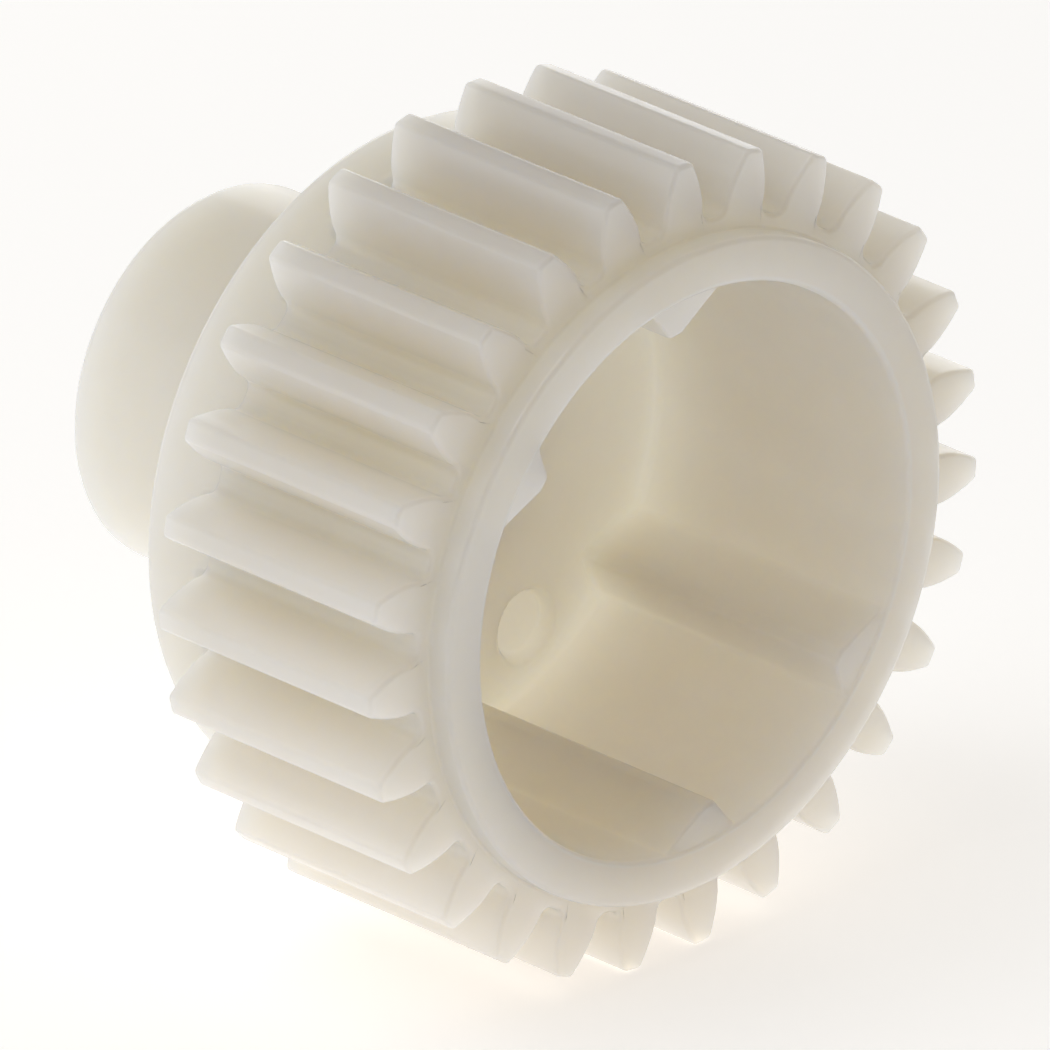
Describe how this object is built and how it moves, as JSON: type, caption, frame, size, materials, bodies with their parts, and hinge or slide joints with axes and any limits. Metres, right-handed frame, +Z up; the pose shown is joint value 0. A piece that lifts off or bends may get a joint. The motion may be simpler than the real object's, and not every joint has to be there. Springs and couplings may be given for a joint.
{
  "type": "spur gear",
  "caption": "Moulded plastic spur gear: straight involute teeth round a cup with opposed pairs of drive ribs, and a plain bored hub behind.",
  "frame": {"origin": "centre of the hub's end face, on the gear's axis", "axes": "+X along the axis from the hub towards the mouth of the cup; +Z up with the gear lying on two teeth"},
  "size_m": [0.023, 0.029, 0.0289],
  "materials": {
    "moulding": "satin as-moulded natural acetal or nylon, slightly translucent ivory"
  },
  "bodies": {
    "root": {"toothed_rim": "moulding", "cup_wall": "moulding", "rear_web": "moulding", "hub": "moulding", "drive_ribs": "moulding"}
  },
  "joints": []
}
